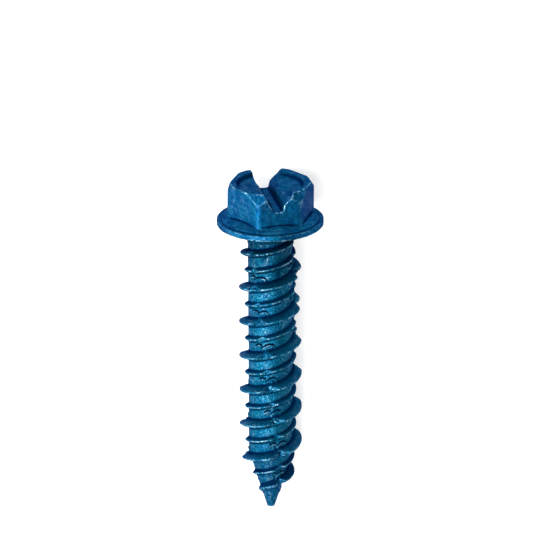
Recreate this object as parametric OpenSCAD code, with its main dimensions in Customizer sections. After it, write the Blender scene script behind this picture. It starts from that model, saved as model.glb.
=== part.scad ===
// Concrete screw: forged hexagon head with a washer flange and a slot, and a
// rolled shank with a high and a low thread, notched in three steep rows.
// One piece of coated steel, lying as it comes to rest on a floor: the flange's rim and a
// thread crest touch it. The origin is the centre of the seat under the flange. Millimetres, +Z up.

/* [Head] */
// Width of the hexagon across its flats
hex_flats = 7.94; // [6.5:0.01:9]
// Width of the hexagon across its blunted corners
hex_corners = 9.08; // [8.6:0.01:9.1]
// Height of the whole head above its seat
head_h = 4.46; // [3.8:0.05:6]
// Width over the chamfered corners at the head's top
top_d = 8.26; // [8:0.02:8.5]
// Slope of the corner chamfer from the level
chamfer_angle = 60; // [40:1:70]
// Width of the hollow in the top
dish_d = 6.8; // [5:0.05:7.2]
// Depth of the hollow in the top
dish_depth = 0.5; // [0.2:0.05:0.8]
// Width of the washer flange
flange_d = 10.94; // [10:0.05:14]
// Thickness of the flange at its rounded rim
rim_h = 0.6; // [0.4:0.02:0.8]
// Height that the flange rises to where it meets the hexagon's corners
flange_h = 1.06; // [0.9:0.02:1.4]
// Radius of the fillet under the flange
fillet_r = 1.3; // [1.1:0.05:1.6]
// Room that the fillet leaves around the threads for a plate laid on the seat
seat_room = 0.12; // [0.05:0.01:0.3]

// Turn of the uppermost flat's middle from the top side
hex_turn = 17; // [0:1:59]

/* [Slot] */
// Turn of the slot from the top side
slot_turn = 11; // [0:1:59]
// Depth of the slot below the head's top
slot_depth = 2.05; // [1.5:0.05:2.3]
// Width of the slot's floor, with its rounded corners
slot_floor_w = 1.1; // [0.8:0.05:1.3]
// Width of the slot where its shoulders begin
slot_mid_w = 1.8; // [1.4:0.05:2]
// Width of the slot at the head's top
slot_top_w = 3.05; // [2.4:0.05:3.4]
// Height of the flared shoulders
slot_flare_h = 1.1; // [0.6:0.05:1.2]
// Sideways offset of the shoulders at the head's top, one being wider than the other
slot_skew = 0.27; // [0:0.01:0.4]

/* [Shank] */
// Length from the seat to the end of the point
shank_length = 31.3; // [25:0.1:60]
// Diameter of the plain neck
neck_d = 4.68; // [4.6:0.02:4.9]
// Diameter at the root of the threads
root_d = 4.54; // [4.3:0.02:4.6]
// Length of the pointed end
point_length = 6.3; // [4:0.1:8]
// Diameter of the blunt end
end_d = 0.8; // [0.4:0.05:1.2]

/* [Threads] */
// Advance of the threads in one turn
lead = 3.754; // [3.4:0.001:4.2]
// Distance below the seat where the high thread begins
thread_start = 1.28; // [1:0.02:2]
// Diameter over the high thread
high_d = 6.44; // [6:0.02:6.8]
// Diameter over the low thread
low_d = 5.32; // [5:0.02:5.5]
// Width of the high thread at its root
high_base = 1; // [0.8:0.02:1.2]
// Width of the high thread's crest
high_crest = 0.24; // [0.1:0.02:0.4]
// Width of the low thread at its root
low_base = 0.62; // [0.4:0.02:0.8]
// Width of the low thread's crest
low_crest = 0.16; // [0.1:0.02:0.3]
// Part of a turn in which the threads grow to their full height
run_in = 0.7; // [0.3:0.05:1]
// Length over which the threads die out on the point
run_out = 2.6; // [1.5:0.1:3.5]

/* [Notches] */
// Steps that a turn of the thread is made in
steps = 62; // [48:1:64]
// Angle along the thread from one notch to the next
notch_pitch = 116.13; // [90:0.01:180]
// Turn of the first notch from where the high thread begins
notch_first = 23.2; // [0:0.1:180]
// Part of the high thread's height that a notch takes
high_notch_depth = 0.85; // [0.4:0.05:0.9]
// Angle that a notch in the high thread spans
high_notch_span = 35; // [24:1:44]
// Part of the low thread's height that a notch takes
low_notch_depth = 0.8; // [0.4:0.05:0.9]
// Angle that a notch in the low thread spans
low_notch_span = 24; // [16:1:32]

/* [Hidden] */
$fn = 96;
coating_blue = [0.02, 0.24, 0.52];

// The head's round pieces
rim_r = rim_h / 2;
flange_top_r = flange_d / 2 - rim_r;
through = 2 * flange_d;
dish_round = dish_depth * 0.9;
slot_round = slot_floor_w * 0.3;
slot_z = head_h - slot_depth;
slot_mid_x = slot_skew * 0.3;

// A shoulder's edge, from its foot (0) to the head's top (1) and on past it
function slot_side(side, t) = [
    slot_mid_x * (1 - t) + slot_skew * t + side * (slot_mid_w * (1 - t) + slot_top_w * t) / 2,
    head_h - slot_flare_h * (1 - t)
];
seat_r = (high_d + seat_room) / 2;
ledge = 0.1;

// The fillet is a fair curve from the seat's inner edge into the neck
fillet_sweep = 60;
fillet_parts = 6;
fillet_into = 0.1;
function fillet_point(a) = [
    seat_r - (seat_r - neck_d / 2 + fillet_into) * sin(a) / sin(fillet_sweep),
    -fillet_r * (1 - cos(a))
];

// The shank is made inside the head up to here, and ends on the blunt point
cap_z = flange_h / 2;
end_z = -shank_length;
near_end = 0.03;
cone_z = end_z + point_length;
high_h = (high_d - root_d) / 2;
low_h = (low_d - root_d) / 2;
run_out_end = 1.1;

// Stations across one lead, from the crest of the high thread towards the point
offsets = [
    -high_base / 2, -high_crest / 2, high_crest / 2, high_base / 2,
    (lead - low_base) / 2, (lead - low_crest) / 2, (lead + low_crest) / 2, (lead + low_base) / 2
];
per_lead = len(offsets);
turns_above = 2 + ceil((cap_z + thread_start) / lead);
stations = per_lead * (turns_above + 1 + ceil((shank_length - thread_start) / lead));

function bound(x) = max(0, min(1, x));

// Depth of the high thread's crest at column i of turn k, below where the thread begins
function crest_fall(i, k) = lead * (k - turns_above - (i - steps) / steps);
function station_z(i, j) =
    -thread_start - crest_fall(i, floor(j / per_lead)) - offsets[j % per_lead];

// The same for the thread that station j belongs to: the low one follows half a lead behind
function is_low(j) = j % per_lead >= per_lead / 2;
function own_fall(i, j) = crest_fall(i, floor(j / per_lead)) + (is_low(j) ? lead / 2 : 0);
function is_crest(j) = j % 4 == 1 || j % 4 == 2;

// A notch is a V: 1 clear of it, 0 at its deepest
function notch(turned, span) =
    let (away = turned / notch_pitch)
    bound(2 * abs(away - round(away)) * notch_pitch / span);
function notched(j, turned) = is_low(j)
    ? 1 - low_notch_depth * (1 - notch(turned - notch_first - notch_pitch / 2, low_notch_span))
    : 1 - high_notch_depth * (1 - notch(turned - notch_first, high_notch_span));

// Height of the thread at a crest station, as it grows, is notched and dies out
function ridge(i, j) =
    let (fall = own_fall(i, j))
    (is_low(j) ? low_h : high_h)
    * bound(fall / lead / run_in)
    * bound((shank_length - run_out_end - thread_start - fall) / run_out)
    * notched(j, fall / lead * 360);

// The neck gives way to the root of the threads as they grow
function base_r(i, j, z) = root_d / 2
    + (neck_d - root_d) / 2 * bound(1 - 4 * own_fall(i, j) / lead)
    + (end_d - root_d) / 2 * bound((cone_z - z) / point_length);

function vertex(i, j) =
    let (
        a = 360 * i / steps,
        z = station_z(i, j),
        on_cap = z >= cap_z - near_end,
        on_end = z <= end_z + near_end,
        zb = on_cap ? cap_z : on_end ? end_z : z,
        r = base_r(i, j, zb) + (is_crest(j) && !on_cap && !on_end ? ridge(i, j) : 0)
    )
    [(on_cap ? neck_d / 2 : r) * cos(a), (on_cap ? neck_d / 2 : r) * sin(a), zb];

// Each column keeps the stations between the head and the point, with one on each end
first = [for (i = [0:steps - 1])
    max([for (j = [0:stations - 1]) if (station_z(i, j) >= cap_z - near_end) j])];
last = [for (i = [0:steps - 1])
    min([for (j = [0:stations - 1]) if (station_z(i, j) <= end_z + near_end) j])];
count = [for (i = [0:steps - 1]) last[i] - first[i] + 1];
sums = [for (i = 0, s = 0; i < steps; s = s + count[i], i = i + 1) s];
function place(i, j) = i == steps ? place(0, j - per_lead)
    : sums[i] + max(first[i], min(last[i], j)) - first[i];

skin = [for (i = [0:steps - 1]) for (j = [first[i]:last[i]]) vertex(i, j)];
function apart(f) = f[0] != f[1] && f[1] != f[2] && f[2] != f[0];
sides = [for (i = [0:steps - 1]) for (j = [0:stations + per_lead - 1])
    let (a = place(i, j), b = place(i, j + 1), c = place(i + 1, j + 1), d = place(i + 1, j))
    each [for (f = [[a, d, c], [a, c, b]]) if (apart(f)) f]];
top_ring = [for (i = [steps - 1:-1:0]) place(i, first[i])];
end_ring = [for (i = [0:steps - 1]) place(i, last[i])];

// Lean of the axis when the rim and the lowest crest of the thread both touch the floor
lean = min([for (p = skin) if (p[2] < -rim_h)
    let (across = flange_top_r - p[1], along = rim_r - p[2])
    atan2(across, along) + asin(rim_r / norm([across, along]))]);

module flange() {
    rotate_extrude() {
        polygon(concat(
            [[0, -fillet_r * (1 - cos(fillet_sweep))]],
            [for (k = [fillet_parts:-1:0]) fillet_point(fillet_sweep * k / fillet_parts)],
            [
                [flange_top_r, 0], [flange_top_r, rim_h],
                [hex_corners / 2 + ledge, flange_h], [0, flange_h]
            ]
        ));
        intersection() {
            translate([flange_top_r, rim_r]) circle(rim_r);
            translate([flange_top_r, 0]) square(rim_h);
        }
    }
}

module hexagon() {
    intersection() {
        rotate(hex_turn) translate([0, 0, rim_r]) linear_extrude(head_h - rim_r) intersection() {
            circle(d = hex_flats / cos(30), $fn = 6);
            circle(d = hex_corners);
        }
        rotate_extrude() polygon([
            [0, 0], [top_d / 2 + head_h / tan(chamfer_angle), 0], [top_d / 2, head_h], [0, head_h]
        ]);
    }
}

module dish() {
    translate([0, 0, head_h - dish_depth]) rotate_extrude() {
        square([dish_d / 2 - dish_round, through]);
        translate([0, dish_round]) square([dish_d / 2, through]);
        intersection() {
            translate([dish_d / 2 - dish_round, dish_round]) circle(dish_round);
            square([through, through]);
        }
    }
}

module slot() {
    rotate([0, 0, slot_turn]) rotate([90, 0, 0]) linear_extrude(through, center = true) {
        translate([0, slot_z]) {
            for (side = [-1, 1])
                translate([side * (slot_floor_w / 2 - slot_round), slot_round]) circle(slot_round);
            translate([slot_round - slot_floor_w / 2, 0])
                square([slot_floor_w - 2 * slot_round, slot_depth]);
        }
        polygon([
            [-slot_floor_w / 2, slot_z + slot_round], [slot_floor_w / 2, slot_z + slot_round],
            slot_side(1, 0), slot_side(1, 2), slot_side(-1, 2), slot_side(-1, 0)
        ]);
    }
}

module shank() {
    polyhedron(points = skin, faces = concat(sides, [top_ring, end_ring]));
}

module concrete_screw() {
    color(coating_blue) rotate([lean - 90, 0, 0]) {
        difference() {
            difference() {
                hexagon();
                dish();
            }
            slot();
        }
        flange();
        shank();
    }
}

concrete_screw();
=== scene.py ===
"""Concrete screw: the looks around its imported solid.

The screw is modelled upright in millimetres, with the seat under its flange at z = 0, the head up
and the photographed side towards -Y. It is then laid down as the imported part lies, in metres.
"""

import logging
import math
from contextlib import contextmanager
from dataclasses import dataclass, field
from enum import Enum
from typing import Any, Callable, Iterator, Sequence, Union

import bmesh
import bpy
import numpy as np
from mathutils import Matrix, Vector


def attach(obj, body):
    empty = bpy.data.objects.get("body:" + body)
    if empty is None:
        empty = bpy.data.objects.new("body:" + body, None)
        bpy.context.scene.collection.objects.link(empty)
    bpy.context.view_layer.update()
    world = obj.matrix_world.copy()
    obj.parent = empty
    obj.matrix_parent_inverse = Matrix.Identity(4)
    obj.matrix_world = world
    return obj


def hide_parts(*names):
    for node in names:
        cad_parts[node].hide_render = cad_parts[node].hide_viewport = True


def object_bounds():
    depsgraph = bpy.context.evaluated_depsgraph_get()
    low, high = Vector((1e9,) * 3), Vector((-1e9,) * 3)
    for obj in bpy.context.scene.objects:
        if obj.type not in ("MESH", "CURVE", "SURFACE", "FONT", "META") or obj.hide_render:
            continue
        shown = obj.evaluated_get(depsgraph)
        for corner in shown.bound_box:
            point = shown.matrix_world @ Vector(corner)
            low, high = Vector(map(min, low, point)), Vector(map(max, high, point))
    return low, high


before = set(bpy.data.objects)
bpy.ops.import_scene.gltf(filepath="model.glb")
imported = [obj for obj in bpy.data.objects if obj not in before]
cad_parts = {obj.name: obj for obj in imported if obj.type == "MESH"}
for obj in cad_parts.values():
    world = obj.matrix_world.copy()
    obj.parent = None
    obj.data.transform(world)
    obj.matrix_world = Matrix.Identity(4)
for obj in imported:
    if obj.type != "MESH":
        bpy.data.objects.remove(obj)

LOG = logging.getLogger("concrete_screw")
NODE = "concrete_screw"
SLOT = "blue_coating"
BODY = "root"
MM = 0.001
MERGE = 1e-4
MERGE_SWEPT = 1e-3
FACING = 0.9
TINY = 1e-9
CAD_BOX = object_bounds()

Colour = tuple[float, float, float, float]
Point = tuple[float, float, float]
Pair = tuple[float, float]

WHITE: Colour = (1, 1, 1, 1)


class Part(Enum):
    """What a selection in edit mode is made of."""

    VERTS = "VERT"
    EDGES = "EDGE"
    FACES = "FACE"


class Cut(Enum):
    """How a tool acts on a piece."""

    JOIN = "UNION"
    REMOVE = "DIFFERENCE"
    KEEP_INSIDE = "INTERSECT"


class Bench:
    """The modelling bench: operators that act on one held piece."""

    @staticmethod
    def hold(piece: bpy.types.Object) -> None:
        """Makes a piece the only selected and the active object.

        Args:
            piece: The object to hold.
        """
        bpy.ops.object.select_all(action="DESELECT")
        piece.select_set(True)
        bpy.context.view_layer.objects.active = piece

    @staticmethod
    def settle() -> bpy.types.Object:
        """Moves the active object's place, turn and scale into its mesh.

        Returns:
            The active object.
        """
        piece = bpy.context.active_object
        Bench.hold(piece)
        bpy.ops.object.transform_apply(location=True, rotation=True, scale=True)
        return piece

    @staticmethod
    @contextmanager
    def editing(piece: bpy.types.Object) -> Iterator[None]:
        """Opens a piece in edit mode with nothing selected.

        Args:
            piece: The object to edit.
        """
        Bench.hold(piece)
        bpy.ops.object.mode_set(mode="EDIT")
        bpy.ops.mesh.select_mode(type=Part.VERTS.value)
        bpy.ops.mesh.select_all(action="DESELECT")
        yield
        bpy.ops.object.mode_set(mode="OBJECT")

    @staticmethod
    def pick(piece: bpy.types.Object, part: Part, test: Callable[[Any], bool]) -> None:
        """Selects the vertices, edges or faces of the edited mesh that pass a test.

        Args:
            piece: The object in edit mode.
            part: What is selected.
            test: Takes a mesh element and says whether it is wanted.
        """
        bpy.ops.mesh.select_all(action="DESELECT")
        bpy.ops.mesh.select_mode(type=part.value)
        shape = bmesh.from_edit_mesh(piece.data)
        rows = {Part.VERTS: shape.verts, Part.EDGES: shape.edges, Part.FACES: shape.faces}[part]
        for element in rows:
            element.select_set(test(element))
        shape.select_flush_mode()
        bmesh.update_edit_mesh(piece.data)

    @staticmethod
    def close_up(piece: bpy.types.Object, distance: float) -> None:
        """Merges doubles and turns the faces outwards.

        Args:
            piece: The object to mend.
            distance: Points closer than this become one.
        """
        with Bench.editing(piece):
            bpy.ops.mesh.select_all(action="SELECT")
            bpy.ops.mesh.remove_doubles(threshold=distance)
            bpy.ops.mesh.normals_make_consistent(inside=False)

    @staticmethod
    def chain(name: str, points: Sequence[Point]) -> bpy.types.Object:
        """Draws a profile: one vertex, extruded from point to point.

        Args:
            name: The new object's name.
            points: The profile's corners in order.

        Returns:
            An object of edges only, all of them selected.
        """
        bpy.ops.mesh.primitive_plane_add(size=1.0)
        piece = bpy.context.active_object
        piece.name = name
        with Bench.editing(piece):
            bpy.ops.mesh.select_all(action="SELECT")
            bpy.ops.mesh.merge(type="CENTER")
            bpy.ops.transform.translate(value=points[0])
            for here, there in zip(points, points[1:]):
                step = tuple(b - a for a, b in zip(here, there))
                bpy.ops.mesh.extrude_vertices_move(TRANSFORM_OT_translate={"value": step})
        return piece

    @staticmethod
    def finish_with(piece: bpy.types.Object, kind: str, **settings: Any) -> None:
        """Adds a modifier to a piece and applies it.

        Args:
            piece: The object to modify.
            kind: The modifier's type.
            settings: The modifier's properties.
        """
        Bench.hold(piece)
        modifier = piece.modifiers.new(kind.title(), kind)
        for key, value in settings.items():
            setattr(modifier, key, value)
        bpy.ops.object.modifier_apply(modifier=modifier.name)

    @staticmethod
    def skin(piece: bpy.types.Object) -> tuple[np.ndarray, np.ndarray]:
        """Reads a piece's points and their normals.

        Args:
            piece: The object to read.

        Returns:
            The points and the normals, one a row.
        """
        at = np.empty(len(piece.data.vertices) * 3)
        out = np.empty_like(at)
        piece.data.vertices.foreach_get("co", at)
        piece.data.vertex_normals.foreach_get("vector", out)
        return at.reshape(-1, 3), out.reshape(-1, 3)

    @staticmethod
    def reshape(piece: bpy.types.Object, points: np.ndarray) -> None:
        """Moves a piece's points.

        Args:
            piece: The object that changes.
            points: Their new places, one a row.
        """
        piece.data.vertices.foreach_set("co", points.ravel())
        piece.data.update()

    @staticmethod
    def put_in_order(piece: bpy.types.Object) -> None:
        """Numbers a piece's points and faces by place, so that every run gives the same mesh.

        Args:
            piece: The object to number again.
        """
        at = Bench.skin(piece)[0]
        order = np.lexsort(at.T)
        rank = np.argsort(order).tolist()
        faces = []
        for face in piece.data.polygons:
            corners = [rank[v] for v in face.vertices]
            first = corners.index(min(corners))
            faces.append(corners[first:] + corners[:first])
        piece.data.clear_geometry()
        piece.data.from_pydata(at[order].tolist(), [], sorted(faces))
        piece.data.update()

    @staticmethod
    def work(piece: bpy.types.Object, tool: bpy.types.Object, cut: Cut) -> None:
        """Joins a tool to a piece, or cuts the piece with it, and throws the tool away.

        Args:
            piece: The object that changes.
            tool: The object that is used up.
            cut: What is done with the tool.
        """
        Bench.finish_with(piece, "BOOLEAN", object=tool, operation=cut.value, solver="EXACT")
        Bench.put_in_order(piece)
        mesh = tool.data
        bpy.data.objects.remove(tool)
        bpy.data.meshes.remove(mesh)


def ease(x: np.ndarray) -> np.ndarray:
    """Rises smoothly from 0 to 1 as x does, and stays there outside."""
    t = np.clip(x, 0.0, 1.0)
    return t * t * (3.0 - 2.0 * t)


def rise(x: np.ndarray, band: Pair) -> np.ndarray:
    """Rises smoothly from 0 at a band's start to 1 at its end."""
    return ease((x - band[0]) / (band[1] - band[0]))


def unevenness(points: np.ndarray, scale: float, seed: int) -> np.ndarray:
    """Finds a smooth random height, always the same for the same seed.

    Args:
        points: Points, one a row.
        scale: How quickly the height changes over a unit of length.
        seed: Which random field it is.

    Returns:
        The heights, mostly between -1 and 1.
    """
    waves, calm = 8, 3
    draw = np.random.default_rng(seed)
    ways = draw.normal(size=(points.shape[1], waves)) * scale
    return np.cos(points @ ways + draw.uniform(0, math.tau, waves)).sum(1) / calm


@dataclass
class Head:
    """The forged head: a hexagon with a hollow top and a flared slot, on a washer flange."""

    flats: float = 7.94
    height: float = 4.46
    hex_turn: float = 13.0
    hex_shift: float = 0.06
    corner_blunt: float = 0.34
    corner_parts: int = 3
    top_width: float = 8.16
    top_shift: float = 0.2
    chamfer_slope: float = 60.0
    hollow: tuple[Pair, ...] = (
        (0.0, 1.0),
        (1.2, 0.86),
        (2.2, 0.68),
        (2.9, 0.53),
        (3.14, 0.45),
        (3.28, 0.33),
        (3.36, 0.18),
        (3.42, 0.05),
        (3.52, -0.02),
        (3.6, -0.5),
    )
    # Painted shade on the hollow's wall: the profile rows it covers, its strength and its spread.
    wall_shade_from: int = 4
    wall_shade_to: int = 8
    wall_shade_strength: float = 0.75
    wall_shade_spread: float = 0.75
    # How strongly edge rubbing and its painted glint show, by zone.
    hexagon_wear: float = 1.25
    lip_wear: float = 0.6
    seat_wear: float = 1.3
    thread_wear: float = 0.9
    slot_turn: float = 11.0
    slot_depth: float = 1.95
    slot_tilt: float = 1.4
    slot_floor: float = 1.05
    slot_shift: float = 0.075
    slot_round: float = 0.24
    slot_parts: int = 5
    slot_foot: float = 1.2
    slot_levels: tuple[Point, ...] = (
        (1.26, 1.5, -0.05),
        (0.85, 2.05, 0.025),
        (0.5, 2.6, 0.18),
        (0.0, 3.05, 0.325),
        (-0.9, 3.9, 0.55),
    )
    rim_radius: float = 5.449
    rim_height: float = 0.6
    rim_round: float = 0.12
    rim_parts: int = 6
    rim_bead: tuple[Pair, ...] = ((0.3, 0.02), (0.4, -0.01), (0.5, 0.06))
    ring_radius: float = 4.83
    ring_groove: tuple[Pair, ...] = ((0.08, 0.3), (0.0, 0.32), (-0.08, 0.23))
    # Strength of the painted crease shade in the flange's top rings and in the hexagon.
    ring_shade: float = 0.4
    slot_shade: float = 0.8
    ledge_radius: float = 4.6
    ledge_height: float = 1.06
    ledge_step: tuple[Pair, ...] = ((0.0, 0.2), (-0.1, 0.11))
    hexagon_foot: float = 0.3
    hexagon_bed: float = 0.14
    seat_radius: float = 3.28
    fillet_drop: float = 0.65
    fillet_reach: float = 1.04
    fillet_sweep: float = 60.0
    fillet_parts: int = 8
    round_parts: int = 144
    reach: float = 12.0
    grid: float = 0.06
    soften_by: float = 0.5
    soften_steps: int = 2
    keep_share: float = 0.34
    lumps: float = 0.014
    lump_scale: float = 1.5
    lump_seed: int = 9

    def hexagon(self) -> bpy.types.Object:
        """Models the hexagon with its blunted and chamfered corners.

        Returns:
            The hexagon, from inside the flange up to the head's top.
        """
        start = self.rim_height / 2
        depth = self.height - start
        bpy.ops.mesh.primitive_cylinder_add(
            vertices=6,
            radius=self.flats / 2 / math.cos(math.radians(30)),
            depth=depth,
            location=(self.hex_shift, 0, start + depth / 2),
            rotation=(0, 0, math.radians(self.hex_turn - 30)),
        )
        piece = Bench.settle()
        with Bench.editing(piece):
            Bench.pick(
                piece,
                Part.EDGES,
                lambda e: abs(e.verts[0].co.z - e.verts[1].co.z) > depth / 2,
            )
            bpy.ops.mesh.bevel(
                offset=self.corner_blunt, segments=self.corner_parts, affect="EDGES"
            )
        over = 1.0
        run = 1 / math.tan(math.radians(self.chamfer_slope))
        bpy.ops.mesh.primitive_cone_add(
            vertices=self.round_parts,
            radius1=self.top_width / 2 + self.height * run,
            radius2=self.top_width / 2 - over * run,
            depth=self.height + over,
            location=(0, self.top_shift, (self.height + over) / 2),
        )
        Bench.work(piece, Bench.settle(), Cut.KEEP_INSIDE)
        return piece

    def turned(self, name: str, profile: Sequence[Point]) -> bpy.types.Object:
        """Turns a profile round the axis to a closed piece.

        Args:
            name: The piece's name.
            profile: Points from the axis back to the axis.

        Returns:
            The piece.
        """
        piece = Bench.chain(name, profile)
        with Bench.editing(piece):
            bpy.ops.mesh.select_all(action="SELECT")
            bpy.ops.mesh.spin(
                steps=self.round_parts, angle=math.tau, center=(0, 0, 0), axis=(0, 0, 1)
            )
        Bench.close_up(piece, MERGE)
        return piece

    def painted_shade(self, points: np.ndarray) -> np.ndarray:
        """Finds where shade is painted on the hollow's wall.

        Args:
            points: Points of the upright screw, one a row.

        Returns:
            How much painted shade lies at each point, from 0 to 1.
        """
        wall = self.hollow[self.wall_shade_from : self.wall_shade_to]
        middle = np.mean(wall, axis=0)
        reach = np.ptp(wall, axis=0) * self.wall_shade_spread
        off = np.column_stack((np.hypot(points[:, 0], points[:, 1]), self.height - points[:, 2]))
        return self.wall_shade_strength * np.exp(-((((off - middle) / reach) ** 2).sum(1)))

    def handled(self, points: np.ndarray) -> np.ndarray:
        """Finds how much each edge is rubbed and painted with a glint: the hexagon and the seat
        most, the flange's lip least.

        Args:
            points: Points of the upright screw, one a row.

        Returns:
            A factor for each point.
        """
        height = points[:, 2]
        zones = [
            height > self.ledge_height,
            height > self.rim_height / 2,
            height > -self.fillet_drop,
        ]
        factors = [self.hexagon_wear, self.lip_wear, self.seat_wear]
        return np.select(zones, factors, self.thread_wear)

    def sharp(self, points: np.ndarray) -> np.ndarray:
        """Finds how strong the painted shade in the creases is: the rings turned in the flange's
        top are shallowest.

        Args:
            points: Points of the upright screw, one a row.

        Returns:
            A factor for each point.
        """
        height = points[:, 2]
        on_top = (height > self.rim_height / 2) & (height < self.ledge_height)
        in_hexagon = height > self.ledge_height + self.hexagon_foot
        return np.select([on_top, in_hexagon], [self.ring_shade, self.slot_shade], 1.0)

    def bowl(self) -> bpy.types.Object:
        """Turns the tool that sinks the hollow in the top: a short wall round a sloped bowl.

        Returns:
            The tool.
        """
        profile = [(r, 0.0, self.height - below) for r, below in self.hollow]
        return self.turned("bowl", profile + [(0.0, 0.0, profile[-1][2])])

    def slot(self) -> bpy.types.Object:
        """Models the tool that cuts the slot: a floor with rounds, a waist and a flared mouth.

        Returns:
            The tool.
        """
        foot = self.height - self.slot_depth
        start = self.slot_round * self.slot_foot
        bpy.ops.mesh.primitive_cube_add(size=1, location=(self.slot_shift, 0, foot + start / 2))
        bpy.context.active_object.scale = (self.slot_floor, self.reach, start)
        tool = Bench.settle()
        with Bench.editing(tool):
            z, width, shift = foot + start, self.slot_floor, self.slot_shift
            Bench.pick(tool, Part.FACES, lambda f: f.normal.z > FACING)
            for below_top, to_width, to_shift in self.slot_levels:
                to_z = self.height - below_top
                step = (to_shift - shift, 0, to_z - z)
                bpy.ops.mesh.extrude_region_move(TRANSFORM_OT_translate={"value": step})
                bpy.ops.transform.resize(
                    value=(to_width / width, 1, 1), center_override=(to_shift, 0, to_z)
                )
                z, width, shift = to_z, to_width, to_shift
            Bench.pick(
                tool,
                Part.EDGES,
                lambda e: max(v.co.z for v in e.verts) < foot + start / 2
                and abs(e.verts[0].co.y - e.verts[1].co.y) > self.reach / 2,
            )
            bpy.ops.mesh.bevel(offset=self.slot_round, segments=self.slot_parts, affect="EDGES")
        tool.rotation_euler = (math.radians(-self.slot_tilt), 0, 0)
        Bench.hold(tool)
        Bench.settle()
        tool.rotation_euler.z = math.radians(self.slot_turn)
        return Bench.settle()

    def flange(self) -> bpy.types.Object:
        """Turns the washer flange: fillet, seat, rounded rim, and a top with a bead and a groove.

        Returns:
            The flange.
        """
        sweep = math.radians(self.fillet_sweep)
        drop = self.fillet_drop / (1 - math.cos(sweep))
        fillet = []
        for k in range(self.fillet_parts + 1):
            a = sweep * (1 - k / self.fillet_parts)
            r = self.seat_radius - self.fillet_reach * math.sin(a) / math.sin(sweep)
            fillet.append((r, 0, -drop * (1 - math.cos(a))))
        rounded = []
        edge = self.rim_round
        for height, first in ((edge, -90), (self.rim_height - edge, 0)):
            for k in range(self.rim_parts + 1):
                turn = math.radians(first + 90 / self.rim_parts * k)
                r = self.rim_radius - edge + edge * math.cos(turn)
                rounded.append((r, 0, height + edge * math.sin(turn)))
        top = [(self.rim_radius - inset, 0, self.rim_height + up) for inset, up in self.rim_bead]
        for radius, steps in (
            (self.ring_radius, self.ring_groove),
            (self.ledge_radius, self.ledge_step),
        ):
            top += [(radius + off, 0, self.ledge_height - below) for off, below in steps]
        bed = self.ledge_height + self.hexagon_bed
        top += [(self.flats / 2, 0, bed), (0, 0, bed)]
        return self.turned("flange", [(0, 0, fillet[0][2])] + fillet + rounded + top)

    def build(self) -> bpy.types.Object:
        """Forges the head: cuts the hexagon, sets it on the flange and softens all edges.

        Returns:
            The head as one closed piece.
        """
        piece = self.hexagon()
        Bench.work(piece, self.bowl(), Cut.REMOVE)
        Bench.work(piece, self.slot(), Cut.REMOVE)
        Bench.work(piece, self.flange(), Cut.JOIN)
        Bench.finish_with(piece, "REMESH", mode="VOXEL", voxel_size=self.grid)
        Bench.finish_with(piece, "SMOOTH", factor=self.soften_by, iterations=self.soften_steps)
        Bench.finish_with(piece, "DECIMATE", ratio=self.keep_share)
        at, out = Bench.skin(piece)
        lumps = unevenness(at, self.lump_scale, self.lump_seed) * self.lumps
        Bench.reshape(piece, at + out * lumps[:, None])
        return piece


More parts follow.
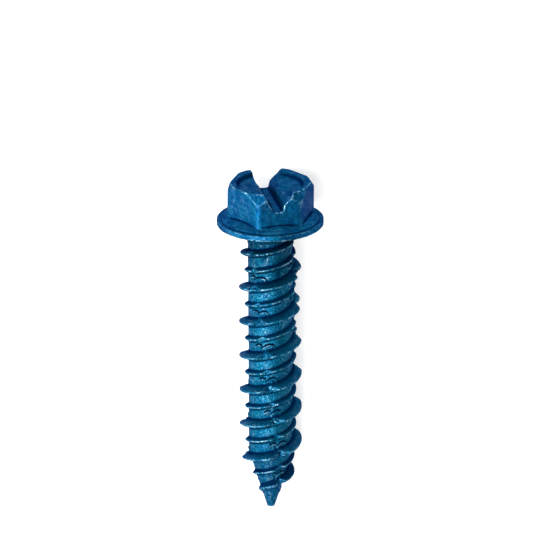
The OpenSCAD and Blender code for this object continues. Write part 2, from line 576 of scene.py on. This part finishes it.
@dataclass
class Shank:
    """The rolled shank: neck, high and low thread with their notches, and the blunt point."""

    length: float = 31.295
    neck_radius: float = 2.34
    neck_fade: float = 4.0
    root_radius: float = 2.27
    point_length: float = 6.3
    end_radius: float = 0.4
    lead: float = 3.754
    start: float = 1.28
    high: float = 0.95
    low: float = 0.39
    high_base: float = 1.0
    high_crest: float = 0.24
    low_base: float = 0.62
    low_crest: float = 0.16
    run_in: float = 0.75
    run_in_first: float = 0.07
    run_out: float = 2.6
    run_out_end: float = 1.1
    notch_pitch: float = 116.13
    notch_first: float = 23.2
    high_notch: float = 0.85
    high_span: float = 35.0
    low_notch: float = 0.8
    low_span: float = 24.0
    notch_blunt: float = 0.18
    notch_round: float = 1.4
    fold_lobes: tuple[tuple[float, float, float, float], ...] = (
        (-0.67, 0.42, 0.95, 0.33),
        (0.27, 0.62, 0.62, 0.46),
    )
    fold_height: float = 0.1
    fold_edge: float = 0.07
    fold_rise: float = 2.0
    fold_fall: float = 0.3
    fold_crease: float = 0.8
    fold_shift: float = 0.12
    fold_stretch: float = 0.2
    fold_count: int = 40
    fold_seed: int = 7
    crumple: float = 0.085
    crumple_scale: float = 14.0
    crumple_seed: int = 3
    crumple_rise: float = 3.0
    crumple_least: float = 0.2
    # Painted shade on the threads' upper flanks: its strength at the root and away from it, how
    # far the root's share reaches, and the slopes that get it.
    flank_shade_at_root: float = 0.75
    flank_shade_away: float = 0.3
    flank_shade_reach: float = 0.3
    flank_shade_slope: Pair = (0.25, 0.65)
    lumps: float = 0.012
    lump_scale: float = 1.6
    lump_seed: int = 5
    top: float = 0.5
    columns: int = 232
    sample: float = 0.005
    bands: tuple[tuple[float, float, int], ...] = (
        (-1.5, -0.56, 15),
        (-0.56, 0.56, 17),
        (0.56, 1.52, 6),
        (1.52, 2.254, 11),
    )
    high_reach: float = 0.27
    fold_reach: float = 0.25
    root_band: float = 0.2
    crest_round: float = 0.045
    round_reach: float = 0.2
    keep_share: float = 0.6

    def profile(self) -> list[Point]:
        """Draws one lead of the thread, from above the high thread to above the next one.

        Returns:
            Points in the XZ plane, going down.
        """
        half = self.lead / 2
        fine = np.arange(-half - 1, self.lead + half + 1, self.sample)

        def tooth(x: np.ndarray, base: float, crest: float, height: float) -> np.ndarray:
            """Gives a tooth's height at a distance from its middle."""
            return height * np.clip((base / 2 - np.abs(x)) / (base - crest) * 2, 0, 1)

        raw = np.maximum.reduce(
            [
                tooth(fine - shift, self.high_base, self.high_crest, self.high)
                for shift in (0, self.lead)
            ]
            + [
                tooth(fine - shift, self.low_base, self.low_crest, self.low)
                for shift in (-half, half, half + self.lead)
            ]
        )
        near = np.arange(-self.round_reach, self.round_reach + self.sample / 10, self.sample)
        kernel = np.exp(-0.5 * (near / self.crest_round) ** 2)
        soft = np.convolve(raw, kernel / kernel.sum(), mode="same")
        soft *= self.high / soft.max()
        stations = [x for a, b, n in self.bands for x in np.linspace(a, b, n, endpoint=False)]
        stations.append(stations[0] + self.lead)
        heights = np.interp(stations, fine, soft)
        return [
            (self.root_radius + float(h), 0.0, -self.start - float(x))
            for x, h in zip(stations, heights)
        ]

    def notch(self, turned: np.ndarray, first: float, span: float) -> np.ndarray:
        """Finds how deep in a notch each angle is.

        Args:
            turned: Angle along the thread, in degrees.
            first: Angle of the first notch.
            span: Angle that a notch covers.

        Returns:
            1 in the middle of a notch, falling to 0 at its ends.
        """
        away = (turned - first) / self.notch_pitch
        x = 2 * np.abs(away - np.round(away)) * self.notch_pitch / span
        rounded = np.hypot(x, self.notch_blunt * self.notch_round)
        return np.clip(1 + self.notch_blunt - rounded, 0, 1)

    def folds(self, turned: np.ndarray, below: np.ndarray) -> np.ndarray:
        """Models the lips of metal that each notch pushes up the root, with a crease above them.

        Args:
            turned: Angle along the high thread, in degrees.
            below: Distance below the high thread's crest.

        Returns:
            How far the root stands out.
        """
        away = (turned - self.notch_first) / self.notch_pitch
        number = np.round(away).astype(int)
        along = np.radians((number - away) * self.notch_pitch) * self.root_radius
        lobes = len(self.fold_lobes)
        draw = np.random.default_rng(self.fold_seed)
        vary = draw.uniform(-1, 1, (self.fold_count, 2 * lobes))
        vary = vary[np.clip(number, 0, self.fold_count - 1)]
        out = np.zeros_like(turned)
        for k, (middle, half, foot, tall) in enumerate(self.fold_lobes):
            wide = half * (1 + self.fold_stretch * vary[:, k + lobes])
            x = (along - middle - self.fold_shift * vary[:, k]) / wide
            arch = np.sqrt(np.clip(1 - x * x, 0, 1))
            past = below + foot + tall * arch
            fall = np.exp(-((np.clip(past, 0, None) / self.fold_fall) ** 2))
            lip = ease(past / self.fold_edge + 0.5) * fall
            crease = np.exp(-(((past + self.fold_edge) / self.fold_edge) ** 2))
            height = ease(arch * self.fold_rise) * self.fold_height
            out += height * (lip - self.fold_crease * crease)
        return out

    def shaped(self, points: np.ndarray) -> np.ndarray:
        """Takes the even helix to the real form: it starts, is notched, tapers and dies out.

        Args:
            points: Points of the swept helix, one a row.

        Returns:
            The moved points.
        """
        x, y, z = points.T
        angle = np.arctan2(y, x)
        turn = np.degrees(angle) % 360 / 360
        swept = np.hypot(x, y) - self.root_radius
        fall = (-self.start - z) / self.lead + turn
        near_high = np.abs(fall - np.round(fall)) < self.high_reach
        crest = np.where(near_high, np.round(fall), np.floor(fall) + 0.5) - turn
        own = crest * self.lead
        turned = crest * 360
        full = np.where(near_high, self.high, self.low)
        turns = own / self.lead
        grow = np.clip(turns / self.run_in_first, 0, 1)
        grow = grow * (1 + np.clip(turns / self.run_in, 0, 1)) / 2
        fade = np.clip((self.length - self.run_out_end - self.start - own) / self.run_out, 0, 1)
        high_cut = self.notch(turned, self.notch_first, self.high_span)
        low_cut = self.notch(turned, self.notch_first + self.notch_pitch / 2, self.low_span)
        cut = np.where(near_high, high_cut, low_cut)
        depth = np.where(near_high, self.high_notch, self.low_notch)
        crumple = unevenness(points, self.crumple_scale, self.crumple_seed)
        crumple = crumple * np.clip(cut * self.crumple_rise, 0, 1)
        crumple = crumple * ease(grow * self.crumple_rise) * fade
        left = 1 - depth * cut
        tooth = np.clip(swept - full * (1 - grow), 0, None) * fade
        tooth = np.minimum(tooth * ((1 + left) / 2), full * left)
        neck = np.clip(1 - self.neck_fade * own / self.lead, 0, 1)
        neck = (self.neck_radius - self.root_radius) * neck
        down = np.clip((self.point_length - self.length - z) / self.point_length, 0, 1)
        taper = (self.end_radius - self.root_radius) * down
        next_high = np.ceil(fall - self.fold_reach)
        folds = self.folds((next_high - turn) * 360, (fall - next_high) * self.lead)
        folds = folds * ease(grow * 2 - 1) * fade * (swept < self.root_band)
        lumps = unevenness(points, self.lump_scale, self.lump_seed)
        lumps = lumps * self.lumps * np.clip(-z, 0, 1)
        radius = self.root_radius + neck + taper + tooth + folds + lumps
        radius += crumple * self.crumple * np.clip(tooth / self.low, self.crumple_least, 1)
        radius = np.clip(radius, self.end_radius / 2, self.root_radius + self.high)
        return np.column_stack((radius * np.cos(angle), radius * np.sin(angle), z))

    def painted_shade(self, points: np.ndarray, normals: np.ndarray) -> np.ndarray:
        """Finds where shade is painted on the upper flanks, most next to the root.

        Args:
            points: Points of the upright screw, one a row.
            normals: Their outward directions.

        Returns:
            How much of it lies at each point, from 0 to 1.
        """
        away = np.clip(np.hypot(points[:, 0], points[:, 1]) - self.root_radius, 0, None)
        facing_up = rise(normals[:, 2], self.flank_shade_slope) * (points[:, 2] < -self.start / 2)
        near_root = np.exp(-((away / self.flank_shade_reach) ** 2))
        return facing_up * (self.flank_shade_away + (self.flank_shade_at_root - self.flank_shade_away) * near_root)

    def build(self) -> bpy.types.Object:
        """Rolls the shank: sweeps the profile round the axis, shapes it and cuts its ends.

        Returns:
            The shank as one closed piece that ends inside the head.
        """
        above = math.ceil((self.start + self.top) / self.lead) + 1
        turns = above + math.ceil(self.length / self.lead) + 1
        bottom = turns - above
        profile = [(x, y, z - bottom * self.lead) for x, y, z in self.profile()]
        piece = Bench.chain("shank", profile)
        Bench.finish_with(
            piece,
            "SCREW",
            angle=math.tau,
            screw_offset=self.lead,
            iterations=turns,
            steps=self.columns,
            render_steps=self.columns,
            use_merge_vertices=False,
        )
        Bench.close_up(piece, MERGE_SWEPT)
        Bench.reshape(piece, self.shaped(Bench.skin(piece)[0]))
        for level, up in ((self.top, 1), (-self.length, -1)):
            with Bench.editing(piece):
                bpy.ops.mesh.select_all(action="SELECT")
                bpy.ops.mesh.bisect(
                    plane_co=(0, 0, level), plane_no=(0, 0, up), clear_outer=True, use_fill=True
                )
        Bench.close_up(piece, MERGE)
        Bench.finish_with(piece, "DECIMATE", ratio=self.keep_share)
        return piece


class Value:
    """A shader socket that takes part in Python expressions."""

    def __init__(self, graph: "Graph", socket: bpy.types.NodeSocket) -> None:
        """Wraps a node's output socket."""
        self.graph = graph
        self.socket = socket

    def _sum(self, operation: str, a: "Number", b: "Number") -> "Value":
        """Adds one Math node."""
        return self.graph.add("ShaderNodeMath", {"operation": operation}, {0: a, 1: b})

    def __add__(self, other: "Number") -> "Value":
        """Adds."""
        return self._sum("ADD", self, other)

    __radd__ = __add__

    def __sub__(self, other: "Number") -> "Value":
        """Subtracts."""
        return self._sum("SUBTRACT", self, other)

    def __rsub__(self, other: "Number") -> "Value":
        """Subtracts from a number."""
        return self._sum("SUBTRACT", other, self)

    def __mul__(self, other: "Number") -> "Value":
        """Multiplies."""
        return self._sum("MULTIPLY", self, other)

    __rmul__ = __mul__

    def blend(self, other: "Value", parts: Pair) -> "Value":
        """Adds another value to this one, each in its own part."""
        return self * parts[0] + other * parts[1]

    def between(self, low: float, high: float) -> "Value":
        """Rises smoothly from 0 at low to 1 at high.

        Args:
            low: Where the rise starts.
            high: Where it ends.

        Returns:
            The risen value.
        """
        return self.graph.add(
            "ShaderNodeMapRange",
            {"interpolation_type": "SMOOTHSTEP"},
            {"Value": self, "From Min": low, "From Max": high},
        )


Number = Union[Value, float]


class Graph:
    """The node graph of one material."""

    def __init__(self, name: str) -> None:
        """Makes an empty material."""
        self.material = bpy.data.materials.new(name)
        self.material.use_nodes = True
        self.tree = self.material.node_tree
        self.tree.nodes.clear()

    def add(
        self,
        kind: str,
        settings: dict[str, Any],
        sockets: dict[Union[str, int], Any],
        out: Union[str, int] = 0,
    ) -> Union[Value, None]:
        """Adds any node.

        Args:
            kind: The node's type.
            settings: Its properties, set first.
            sockets: Values or links of its inputs, by name or number.
            out: Which output is wanted.

        Returns:
            The output, ready for expressions, or None from a node that has no outputs.
        """
        node = self.tree.nodes.new(kind)
        for key, value in settings.items():
            setattr(node, key, value)
        for key, value in sockets.items():
            if isinstance(value, Value):
                self.tree.links.new(value.socket, node.inputs[key])
            else:
                node.inputs[key].default_value = value
        return Value(self, node.outputs[out]) if node.outputs else None

    def mix(self, factor: Number, a: Union[Value, Colour], b: Union[Value, Colour]) -> Value:
        """Mixes two colours.

        Args:
            factor: Share of the second colour.
            a: The first colour.
            b: The second colour.

        Returns:
            The mixed colour.
        """
        return self.add("ShaderNodeMix", {"data_type": "RGBA"}, {0: factor, 6: a, 7: b}, out=2)

    def noise(self, place: Value, scale: float, detail: float, rough: float) -> Value:
        """Adds a noise pattern.

        Args:
            place: The coordinates it reads.
            scale: How many bumps go on a unit of them.
            detail: How many finer layers it has.
            rough: How strong those are.

        Returns:
            The pattern, from 0 to 1.
        """
        return self.add(
            "ShaderNodeTexNoise",
            {},
            {"Vector": place, "Scale": scale, "Detail": detail, "Roughness": rough},
        )


@dataclass(frozen=True)
class Amount:
    """How much of something there is on the head, and how much more on the shank."""

    head: float
    more: float

    def along(self, shaft: Value) -> Value:
        """Gives the amount at each point, from how far that is on the shank."""
        return self.head + shaft * self.more


@dataclass(frozen=True)
class BlueCoating:
    """Thin blue coating over forged and rolled steel: mottled, grainy, rubbed with painted glints
    on its edges, with painted shade.

    A noise has its scale, detail and roughness. A pair is where a mask starts and where it is
    full, in millimetres up the screw for a place, or the parts in which two patterns are blended.
    """

    blue: Colour = (0.0009, 0.073, 0.19, 1)
    deep: Colour = (0.0004, 0.04, 0.118, 1)
    teal: Colour = (0.001, 0.108, 0.19, 1)
    fleck: Colour = (0.06, 0.4, 0.56, 1)
    # Colour of edges rubbed bare, which also paints their glints.
    pale: Colour = (0.3, 0.6, 0.75, 1)
    # Colour of the random pits, and of the painted shade in creases, on the hollow's wall and on
    # the upper flanks.
    pits_and_shade: Colour = (0.0003, 0.007, 0.037, 1)
    # Colour of the painted shadow of the flange on the neck.
    shade: Colour = (0.0005, 0.021, 0.04, 1)
    glint: Colour = (0.05, 0.25, 0.38, 1)
    patch_noise: Point = (0.7, 3.0, 0.55)
    mottle_noise: Point = (2.0, 4.0, 0.62)
    grain_noise: Point = (4.6, 2.0, 0.6)
    fine_noise: Point = (9.0, 2.0, 0.6)
    speck_parts: Pair = (0.4, 0.6)
    fleck_parts: Pair = (0.65, 0.35)
    wear_parts: Pair = (0.6, 0.4)
    relief_parts: Pair = (0.8, 0.35)
    # Bend per millimetre where edge rubbing with its painted glint starts and is full, and where
    # painted crease shade does.
    edge: Pair = (1.0, 4.5)
    crease: Pair = (0.25, 1.9)
    calm: Pair = (0.0, 0.6)
    head_place: Pair = (-4.0, 1.0)
    tip_place: Pair = (-33.0, -20.0)
    neck_place: Pair = (-8.0, 0.0)
    seat_place: Pair = (-0.2, 0.3)
    side_place: Pair = (1.2, 1.8)
    top_place: Pair = (3.4, 4.3)
    outer_square: Pair = (2.0, 9.0)
    mottled: Pair = (0.34, 0.66)
    patchy: Pair = (0.4, 0.66)
    flecked: Pair = (0.46, 0.68)
    pitted: Pair = (0.36, 0.5)
    rubbed: Pair = (0.46, 0.62)
    sparkling: Pair = (0.55, 0.66)
    hazy: Pair = (0.42, 0.68)
    patch_tint: float = 0.35
    shaft_tint: float = 0.45
    pits: Amount = Amount(0.1, 0.45)
    flecks: Amount = Amount(0.08, 0.24)
    # Strength of the painted flange shadow on the neck, and how much gloss it takes away.
    neck_shadow: float = 0.78
    neck_shadow_dull: float = 0.4
    # How fully the painted shade covers the colour.
    crease_shade_cover: float = 0.95
    # How fully the edge rubbing and its painted glint cover the colour.
    wear_and_glint_cover: float = 0.85
    metal: float = 0.8
    metal_flecks: float = 0.1
    metal_worn: float = 0.3
    rough: float = 0.44
    rough_mottle: float = 0.14
    rough_flecks: float = 0.14
    rough_worn: float = 0.1
    sparkle: Amount = Amount(0.12, 0.6)
    haze: Amount = Amount(0.018, 0.022)
    scuff_haze: float = 0.06
    wear_gloss: float = 0.08
    gloss_rough: float = 0.22
    gloss_ior: float = 2.6
    grain_relief: Amount = Amount(0.4, 0.6)
    mottle_relief: float = 0.7
    bump: float = 0.00011

    def build(self, lean: float) -> bpy.types.Material:
        """Makes the finish.

        Args:
            lean: How far the screw's axis leans from the floor, in degrees.

        Returns:
            The material.
        """
        g = Graph(SLOT)
        own = g.add("ShaderNodeTexCoord", {}, {}, out="Object")
        place = g.add(
            "ShaderNodeMapping",
            {},
            {
                "Vector": own,
                "Rotation": (math.radians(90 - lean), 0, 0),
                "Scale": (1 / MM, 1 / MM, 1 / MM),
            },
        )
        across = g.add("ShaderNodeSeparateXYZ", {}, {0: place}, out=0)
        up = g.add("ShaderNodeSeparateXYZ", {}, {0: place}, out=2)
        # Edge rubbing, which also carries painted glints.
        edge = g.add("ShaderNodeAttribute", {"attribute_name": "edge"}, {}, out="Fac")
        # Painted shade: creases, the hollow's wall and the upper flanks.
        crease = g.add("ShaderNodeAttribute", {"attribute_name": "crease"}, {}, out="Fac")
        patches = g.noise(place, *self.patch_noise)
        mottle = g.noise(place, *self.mottle_noise)
        grain = g.noise(place, *self.grain_noise)
        fine = g.noise(place, *self.fine_noise)
        specks = grain.blend(fine, self.speck_parts)

        shaft = 1.0 - up.between(*self.head_place)
        # Painted shadow of the flange: strongest just under the seat, fading over the upper shank.
        neck = up.between(*self.neck_place) * (1.0 - up.between(*self.seat_place))
        sides = up.between(*self.side_place) * (1.0 - up.between(*self.top_place))
        scuffed = (across * across).between(*self.outer_square) * sides
        # Less speckle and gloss where shade is painted.
        calm = 1.0 - crease.between(*self.calm)
        flecks = grain.blend(fine, self.fleck_parts).between(*self.flecked)
        # Edge rubbing with painted glints, broken up by noise.
        wear_and_glint = edge * mottle.blend(grain, self.wear_parts).between(*self.rubbed)
        pits = 1.0 - specks.between(*self.pitted)
        sparkle = specks.between(*self.sparkling)

        tint = patches.between(*self.patchy) * self.patch_tint
        tint = tint + shaft * up.between(*self.tip_place) * self.shaft_tint
        colour = g.mix(mottle.between(*self.mottled), self.deep, self.blue)
        colour = g.mix(tint, colour, self.teal)
        colour = g.mix(pits * calm * self.pits.along(shaft), colour, self.pits_and_shade)
        colour = g.mix(flecks * calm * self.flecks.along(shaft), colour, self.fleck)
        # Painted shadow of the flange on the neck.
        colour = g.mix(neck * self.neck_shadow, colour, self.shade)
        # Painted shade in creases, on the hollow's wall and on the upper flanks.
        colour = g.mix(crease * self.crease_shade_cover, colour, self.pits_and_shade)
        # Rubbed edges, painted pale, which also stand in for their glints.
        colour = g.mix(wear_and_glint * self.wear_and_glint_cover, colour, self.pale)

        metal = flecks * self.metal_flecks + wear_and_glint * self.metal_worn + self.metal
        rough = mottle * self.rough_mottle + self.rough
        rough = rough - flecks * self.rough_flecks - wear_and_glint * self.rough_worn
        haze = self.haze.along(shaft) + scuffed * self.scuff_haze
        gloss = sparkle * self.sparkle.along(shaft) + mottle.between(*self.hazy) * haze
        # Less gloss in the painted shade and under the painted flange shadow; more on rubbed
        # edges.
        gloss = gloss * calm * (1.0 - neck * self.neck_shadow_dull) + wear_and_glint * self.wear_gloss
        relief = grain.blend(fine, self.relief_parts) * self.grain_relief.along(shaft)
        relief = relief + mottle * self.mottle_relief
        bump = g.add(
            "ShaderNodeBump", {}, {"Strength": 1.0, "Distance": self.bump, "Height": relief}
        )
        surface = g.add(
            "ShaderNodeBsdfPrincipled",
            {},
            {
                "Base Color": colour,
                "Roughness": rough,
                "Metallic": metal,
                "Specular IOR Level": 0.0,
                "Specular Tint": self.glint,
                "Coat Weight": gloss,
                "Coat Roughness": self.gloss_rough,
                "Coat IOR": self.gloss_ior,
                "Normal": bump,
            },
        )
        g.add("ShaderNodeOutputMaterial", {}, {"Surface": surface})
        return g.material


@dataclass
class ConcreteScrew:
    """The whole screw, made of its head and its shank as one piece of steel."""

    lean: float = 5.52551
    smooth_under: float = 50.0
    spread_rounds: int = 2
    # How much the painted shade takes away from the edge rubbing and its painted glint.
    shade_hides_wear: float = 3.0
    head: Head = field(default_factory=Head)
    shank: Shank = field(default_factory=Shank)
    finish: BlueCoating = field(default_factory=BlueCoating)

    def build(self) -> bpy.types.Object:
        """Makes the screw's mesh, lying in the row's frame.

        Returns:
            The screw as one closed piece.
        """
        piece = self.head.build()
        LOG.info("head: %d faces", len(piece.data.polygons))
        shank = self.shank.build()
        LOG.info("shank: %d faces", len(shank.data.polygons))
        Bench.work(piece, shank, Cut.JOIN)
        Bench.close_up(piece, MERGE)
        piece.name = piece.data.name = "screw_visual"
        self.mark_edges(piece)
        piece.rotation_euler.x = math.radians(self.lean - 90)
        piece.scale = (MM, MM, MM)
        Bench.hold(piece)
        Bench.settle()
        bpy.ops.object.shade_smooth_by_angle(angle=math.radians(self.smooth_under))
        return piece

    def mark_edges(self, piece: bpy.types.Object) -> None:
        """Keeps on the mesh how far each point is an edge, rubbed and painted with a glint, or a
        crease with painted shade.

        Args:
            piece: The screw, still upright in millimetres.
        """
        mesh = piece.data
        count = len(mesh.vertices)
        at, out = Bench.skin(piece)
        ends = np.empty(len(mesh.edges) * 2, np.int32)
        mesh.edges.foreach_get("vertices", ends)
        a, b = ends.reshape(-1, 2).T
        span = at[b] - at[a]
        bend = ((out[b] - out[a]) * span).sum(1) / np.maximum((span * span).sum(1), TINY)
        ways = np.bincount(a, minlength=count) + np.bincount(b, minlength=count)
        value = np.bincount(a, bend, count) + np.bincount(b, bend, count)
        value /= np.maximum(ways, 1)
        for _ in range(self.spread_rounds):
            spread = np.bincount(a, value[b], count) + np.bincount(b, value[a], count)
            value = (value + spread / np.maximum(ways, 1)) / 2
        # Painted shade on the hollow's wall and on the upper flanks, added to the crease shade
        # below.
        painted_shade = self.head.painted_shade(at) + self.shank.painted_shade(at, out)
        # Convex edges: rubbing with painted glints.
        edge_wear_and_glint = rise(value * self.head.handled(at), self.finish.edge)
        # Painted shade in concave creases.
        crease_shade = rise(-value * self.head.sharp(at), self.finish.crease)
        amounts = {"edge": edge_wear_and_glint - self.shade_hides_wear * painted_shade, "crease": crease_shade + painted_shade}
        for name, amount in amounts.items():
            layer = mesh.attributes.new(name, "FLOAT", "POINT")
            layer.data.foreach_set("value", np.clip(amount, 0, 1))

    def dress(self, piece: bpy.types.Object) -> None:
        """Gives the screw its finish and its place in the frame.

        Args:
            piece: The finished screw.
        """
        piece.data.materials.clear()
        piece.data.materials.append(self.finish.build(self.lean))
        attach(piece, BODY)
        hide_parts(NODE)


@dataclass(frozen=True)
class SoftBox:
    """A round soft light that faces the screw, in metres and watts."""

    name: str
    toward: Point
    away: float
    size: float
    power: float

    def hang(self, aim: Point) -> None:
        """Hangs the light.

        Args:
            aim: The point that it faces.
        """
        lamp = bpy.data.lights.new(self.name, "AREA")
        lamp.shape, lamp.size, lamp.energy = "DISK", self.size, self.power
        box = bpy.data.objects.new(self.name, lamp)
        bpy.context.scene.collection.objects.link(box)
        way = Vector(self.toward).normalized()
        box.location = Vector(aim) + way * self.away
        box.rotation_euler = way.to_track_quat("Z", "Y").to_euler()


@dataclass
class Studio:
    """The pale floor, the soft light and the camera."""

    boxes: tuple[SoftBox, ...] = (
        SoftBox("key", (-0.42, -0.06, 0.9), 0.4, 0.38, 3.8),
        SoftBox("head_box", (0.0, 0.95, 0.3), 0.5, 0.3, 0.8),
        SoftBox("left_box", (-0.95, 0.0, 0.31), 0.4, 0.3, 1.05),
        SoftBox("right_box", (0.93, -0.1, 0.35), 0.5, 0.3, 0.55),
        SoftBox("foot_box", (-0.15, -0.86, 0.5), 0.5, 0.3, 0.9),
    )
    floor_size: float = 4.0
    floor_colour: Colour = (0.5, 0.5, 0.5, 1)
    floor_rough: float = 0.9
    floor_glow: float = 0.62
    aim: Point = (0.0, -0.005086, -0.000492)
    tilt: float = 15.874
    roll: float = -0.15
    away: float = 0.5
    side: float = -0.00003
    lens: float = 327.27
    sensor: float = 36.0
    clip: Pair = (0.01, 20.0)
    ambient: float = 0.12

    def floor(self) -> None:
        """Lays the floor under the screw's lowest point."""
        bpy.ops.mesh.primitive_plane_add(size=self.floor_size, location=(0, 0, CAD_BOX[0][2]))
        floor = Bench.settle()
        floor.name = "floor"
        g = Graph("pale_floor")
        surface = g.add(
            "ShaderNodeBsdfPrincipled",
            {},
            {
                "Base Color": self.floor_colour,
                "Roughness": self.floor_rough,
                "Emission Color": WHITE,
                "Emission Strength": self.floor_glow,
            },
        )
        g.add("ShaderNodeOutputMaterial", {}, {"Surface": surface})
        floor.data.materials.append(g.material)

    def camera(self) -> None:
        """Sets the camera at the photographed view."""
        lens = bpy.data.cameras.new("camera")
        lens.lens, lens.sensor_width = self.lens, self.sensor
        lens.clip_start, lens.clip_end = self.clip
        camera = bpy.data.objects.new("camera", lens)
        bpy.context.scene.collection.objects.link(camera)
        turn = Matrix.Rotation(math.radians(-self.tilt), 4, "X")
        roll = Matrix.Rotation(math.radians(self.roll), 4, "Z")
        back = turn @ Vector((0, 0, self.away))
        place = Vector(self.aim) + back + Vector((self.side, 0, 0))
        camera.matrix_world = Matrix.Translation(place) @ turn @ roll
        bpy.context.scene.camera = camera

    def build(self) -> None:
        """Sets up the studio."""
        self.floor()
        for box in self.boxes:
            box.hang(self.aim)
        world = bpy.data.worlds.new("studio")
        bpy.context.scene.world = world
        world.use_nodes = True
        sky = world.node_tree.nodes["Background"]
        sky.inputs["Color"].default_value = WHITE
        sky.inputs["Strength"].default_value = self.ambient
        bpy.context.scene.view_settings.view_transform = "Standard"
        self.camera()


def main() -> None:
    """Builds the screw and the studio."""
    logging.basicConfig(level=logging.INFO, format="%(name)s: %(message)s")
    screw = ConcreteScrew()
    piece = screw.build()
    screw.dress(piece)
    LOG.info("screw: %d triangles", sum(len(p.vertices) - 2 for p in piece.data.polygons))
    Studio().build()


if __name__ == "__main__":
    main()
